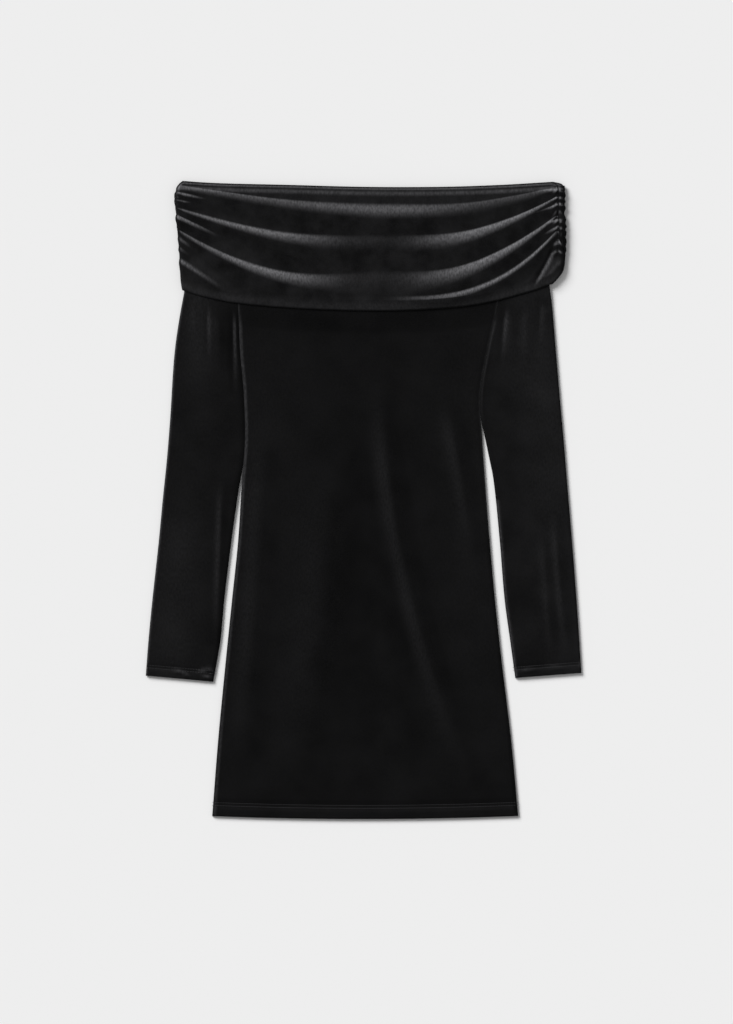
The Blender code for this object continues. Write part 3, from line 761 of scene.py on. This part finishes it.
gathers = (
    Gather(-0.2450, 0.3995, 0.050, 0.011, 0.75, 0.0028),
    Gather(-0.2450, 0.3895, 0.030, 0.005, 0.75, 0.0024),
    Gather(-0.2440, 0.3690, 0.064, 0.030, 0.70, 0.0036),
    Gather(-0.2430, 0.3420, 0.026, 0.018, 0.75, 0.0028),
    Gather(-0.2420, 0.3290, 0.018, 0.012, 0.55, 0.0026),
    Gather(-0.2410, 0.3130, 0.064, 0.042, 0.62, 0.0040),
    Gather(0.2540, 0.4035, 0.034, 0.003, 0.40, 0.0026),
    Gather(0.2540, 0.3840, 0.040, 0.015, 0.60, 0.0026),
    Gather(0.2540, 0.3640, 0.020, 0.006, 0.75, 0.0028),
    Gather(0.2540, 0.3560, 0.028, 0.016, 0.50, 0.0028),
    Gather(0.2540, 0.3360, 0.018, 0.012, 0.50, 0.0028),
)
PuckerRun = namedtuple("PuckerRun", "seam_x top_y foot_y pitch run_left lift_left run_right lift_right")
pucker_runs = (
    PuckerRun(-0.2440, 0.4120, 0.3020, 0.0125, 0.010, 0.0014, 0.010, 0.0012),
    PuckerRun(0.2530, 0.4080, 0.3120, 0.0100, 0.010, 0.0011, 0.026, 0.0026),
)
pucker_tilt = 0.8
pucker_seam_width = 0.003
pucker_sway = 0.16
pucker_sway_length = 0.037
seam_start = 0.12
plain_lift = 0.0012
neck_fade = 0.012
foot_fade = 0.014
foot_lift_share = 0.15
foot_roll = 0.0024
first_neck_angle = math.radians(3)
half_seam_angle = 0.06
right_seam_angle = math.radians(70)
# Painted shade near the neckline, and a painted highlight in a band just above the foot.
neck_shade = 0.7
neck_shade_reach = 0.009
foot_highlight = 0.07
foot_highlight_height = 0.006
collar_creases = (
    SoftFold(0.2530, 0.3400, 0.2130, 0.2640, 0.0015, -0.0018, 0.0032),
    SoftFold(0.2600, 0.3150, 0.2180, 0.2660, 0.0040, 0.0004, 0.0050),
)


def swag_centre(swag, x):
    """The line of a swag, how near each x is to its seam, and which x are on its left."""
    left = x < swag.low_x
    seam_x = np.where(left, seam_left_x, seam_right_x)
    seam_y = np.where(left, swag.left_y, swag.right_y)
    near = np.clip((x - swag.low_x) / (seam_x - swag.low_x), 0, 1)
    bow = np.where(left, swag.bow_left, swag.bow_right)
    return swag.low_y + (seam_y - swag.low_y) * near**bow, near, left


def draped(below, width, start):
    """A fold's profile, 0 to 1: it starts this share of its width above its line, then rolls softly away."""
    lead, rise_length, tail_length = (start + 0.3) * width, 0.85 * width, 3.0 * width
    rising = 1 - np.exp(-((np.maximum(below + lead, 0) / rise_length) ** (1 + start)))
    return rising * np.exp(-((np.maximum(below, 0) / tail_length) ** 2))


def swag_lift(x, y):
    """The swags, which sharpen from their lowest point towards each seam."""
    total = np.zeros_like(x)
    for swag in swags:
        centre, near, left = swag_centre(swag, x)
        steep_at_seam = np.where(left, swag.steep_left, swag.steep_right)
        steep = mix(swag.steep_middle, steep_at_seam, ease((near - 0.08) / 0.55))
        width = mix(swag.width_middle, swag.width_seam, near ** np.where(left, 0.9, 1.6))
        start = mix(swag.start, seam_start, ease(near / 0.6))
        total += steep * width * draped(centre - y, width, start)
    return total


def gather_lift(x, y):
    """Short folds that run in from the seams and fall as they go."""
    total = np.zeros_like(x)
    for gather in gathers:
        inward = (x - gather.seam_x) * (-1 if gather.seam_x > 0 else 1)
        along = inward / gather.run
        centre = gather.y - gather.fall * np.maximum(along, 0.0)
        height = gather.steep * gather.width * (1 - ease(along))
        total += height * draped(centre - y, gather.width, seam_start)
    return total


def pucker_lift(x, y):
    """Puckers that slant down from a seam on both sides of it, and the groove of the seam between them."""
    total = np.zeros_like(x)
    for puckers in pucker_runs:
        away = np.abs(x - puckers.seam_x)
        on_left = x < puckers.seam_x
        run = np.where(on_left, puckers.run_left, puckers.run_right)
        lift = np.where(on_left, puckers.lift_left, puckers.lift_right)
        inside = (y > puckers.foot_y) & (y < puckers.top_y)
        fade = (1 - ease(away / run)) * ease(away / pucker_seam_width)
        fade = fade * ease((y - puckers.foot_y) / puckers.pitch)
        turns = (puckers.top_y - y - pucker_tilt * away) / puckers.pitch
        turns = turns + pucker_sway * np.sin(2 * np.pi * y / pucker_sway_length)
        total += np.where(inside, lift * fade * (0.5 - 0.5 * np.cos(2 * np.pi * turns)), 0)
    return total


def collar_relief(x, y):
    """The folds of the collar's cloth."""
    return swag_lift(x, y) + gather_lift(x, y) + pucker_lift(x, y) + soft_fold_lift(collar_creases, x, y)


def collar_lift(x, y):
    """All that stands above the plain turned-over collar."""
    below_neck = ease((collar_top(x) - y) / neck_fade)
    above_foot = mix(foot_lift_share, 1.0, ease((y - collar_foot(x)) / foot_fade))
    return (plain_lift + collar_relief(x, y)) * below_neck * above_foot


def collar_line(x, number):
    """The lines that the collar's rows are spaced between: 0 at the neckline, each swag, then the foot."""
    if number == 0:
        return collar_top(x) - collar_roll_in
    if number <= len(swags):
        return swag_centre(swags[number - 1], x)[0]
    return collar_foot(x)


def collar_half(name, front, band_rows, middle_columns, roll_steps):
    """Half of the collar, from seam to seam, with its neckline and its sides rolled over."""
    top_angle = np.pi / 2
    foot_crowding, side_crowding = 1.4, 0.6
    neck_angles = [mix(first_neck_angle, top_angle, k / roll_steps) for k in range(roll_steps)]
    places = [line + k / count for line, count in enumerate(band_rows[:-1]) for k in range(count)]
    places += [len(swags) + 1 - (1 - k / band_rows[-1]) ** foot_crowding for k in range(band_rows[-1] + 1)]
    rows = [(angle, 0.0) for angle in neck_angles] + [(top_angle, place) for place in places]
    flat = top_angle if front else -top_angle
    seam_sign = 1 if front else -1
    right_steps = roll_steps if front else 3 * roll_steps
    even = np.linspace(0, 1, middle_columns)
    across = mix(even, (1 - np.cos(np.pi * even)) / 2, side_crowding)
    walls = []
    for depth in (0.0, collar_cloth):
        grid = []
        for neck_angle, place in rows:
            on_front = 1 - float(ease(place - len(swags)))
            right_seam = right_seam_angle * on_front
            half_gap = half_seam_angle * mix(1, collar_roll_in / right_roll_in, on_front)
            left_angles = np.linspace(seam_sign * half_seam_angle, flat, roll_steps + 1)[:-1]
            right_angles = np.linspace(flat, right_seam + seam_sign * half_gap, right_steps + 1)[1:]
            angle = np.concatenate([left_angles, np.full(middle_columns, flat), right_angles])
            share_across = np.concatenate([np.zeros(roll_steps), across, np.ones(right_steps)])
            zone = np.array([0] * roll_steps + [1] * middle_columns + [2] * right_steps)
            x = mix(collar_side_rows[0].left, collar_side_rows[0].right, share_across)
            line = min(int(place), len(swags))
            for _ in range(settling_passes):
                if neck_angle < top_angle:
                    y = collar_top(x) - depth - (collar_roll_in - depth) * (1 - math.cos(neck_angle))
                else:
                    y = mix(collar_line(x, line), collar_line(x, line + 1), place - line)
                share = collar_share(x, y)
                left, right = collar_side(share, "left"), collar_side(share, "right")
                left_roll, right_roll = collar_roll(share, "left"), collar_roll(share, "right")
                on_left = left + depth + (left_roll - depth) * (1 - np.cos(angle))
                on_right = right - depth - (right_roll - depth) * (1 - np.cos(angle))
                x = np.where(zone == 0, on_left, mix(left + left_roll, right - right_roll, share_across))
                x = np.where(zone == 2, on_right, x)
            lift = np.where(angle > 0, collar_lift(x, y), 0)
            if depth == 0:
                bulge = 0.8 * collar_relief(x, y) * np.cos(angle) * math.sin(neck_angle)
                x = x + np.where(zone == 2, bulge, np.where(zone == 0, -bulge, 0))
            turn = np.clip((y - collar_foot(x)) / foot_roll, 0, 1) if front else np.ones_like(x)
            rounded = inner_half + (outer_half + lift - inner_half) * np.sqrt(1 - (1 - turn) ** 2)
            z = middle_level + (rounded if depth == 0 else inner_half) * np.sin(angle) * math.sin(neck_angle)
            grid.append(flat_layer(x, y, z))
        walls.append(np.array(grid))
    material = velvet(name.replace("_", " "), 0.5, highlight_tone=0.140, rest_tone=0.0064, brushed_size=0.022)
    from_neck = collar_top(walls[0][..., 0]) - walls[0][..., 1]
    from_foot = walls[0][..., 1] - collar_foot(walls[0][..., 0])
    # Painted shade near the neckline, and a painted highlight just above the foot.
    sheen_and_shade = neck_shade * ease(from_neck / neck_shade_reach) - neck_shade
    sheen_and_shade += foot_highlight * np.exp(-(((from_foot - foot_highlight_height) / foot_highlight_height) ** 2))
    collar_light = (-0.12, 0.80, 0.59)
    return cloth_wall(name, walls[0], walls[1], material, collar_light, sheen_and_shade)


collar_back = collar_half(
    "collar_back_velvet", front=False, band_rows=(16, 20, 22, 16, 26), middle_columns=60, roll_steps=6
)
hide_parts("collar_back")
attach(collar_back, "root")

collar_front = collar_half(
    "collar_front_velvet", front=True, band_rows=(22, 34, 38, 22, 40), middle_columns=180, roll_steps=6
)
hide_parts("collar_front")
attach(collar_front, "root")


# STAGE. A plain pale floor, a broad soft light from the upper left, and a camera straight above.

floor_drop = 0.0003
floor_mesh = bpy.data.meshes.new("floor")
floor_grid = bmesh.new()
bmesh.ops.create_grid(floor_grid, x_segments=1, y_segments=1, size=4)
floor_grid.to_mesh(floor_mesh)
floor_grid.free()
floor_mesh.transform(Matrix.Translation((0, 0, -floor_drop)))
floor = bpy.data.objects.new("floor", floor_mesh)
bpy.context.scene.collection.objects.link(floor)
floor_paint = bpy.data.materials.new("floor paint")
floor_paint.use_nodes = True
floor_shader = floor_paint.node_tree.nodes["Principled BSDF"]
floor_shader.inputs["Base Color"].default_value = (0.88, 0.88, 0.88, 1)
floor_shader.inputs["Roughness"].default_value = 0.9
floor_shader.inputs["Specular IOR Level"].default_value = 0.1
floor_mesh.materials.append(floor_paint)

world = bpy.data.worlds.new("studio")
world.use_nodes = True
world.node_tree.nodes["Background"].inputs["Color"].default_value = (1, 1, 1, 1)
world.node_tree.nodes["Background"].inputs["Strength"].default_value = 0.32
bpy.context.scene.world = world

softbox = bpy.data.lights.new("softbox", "SUN")
softbox.energy = 3.75
softbox.angle = math.radians(30)
softbox_object = bpy.data.objects.new("softbox", softbox)
softbox_object.location = (-1.3, 1.9, 1.7)
softbox_object.rotation_euler = (math.radians(-57), 0, math.radians(46))
bpy.context.scene.collection.objects.link(softbox_object)

camera = bpy.data.cameras.new("camera")
camera.type = "ORTHO"
camera.ortho_scale = 1.3312
camera_object = bpy.data.objects.new("camera", camera)
camera_object.location = (0.0039, -0.01625, 2.5)
bpy.context.scene.collection.objects.link(camera_object)
bpy.context.scene.camera = camera_object
bpy.context.scene.view_settings.view_transform = "Standard"
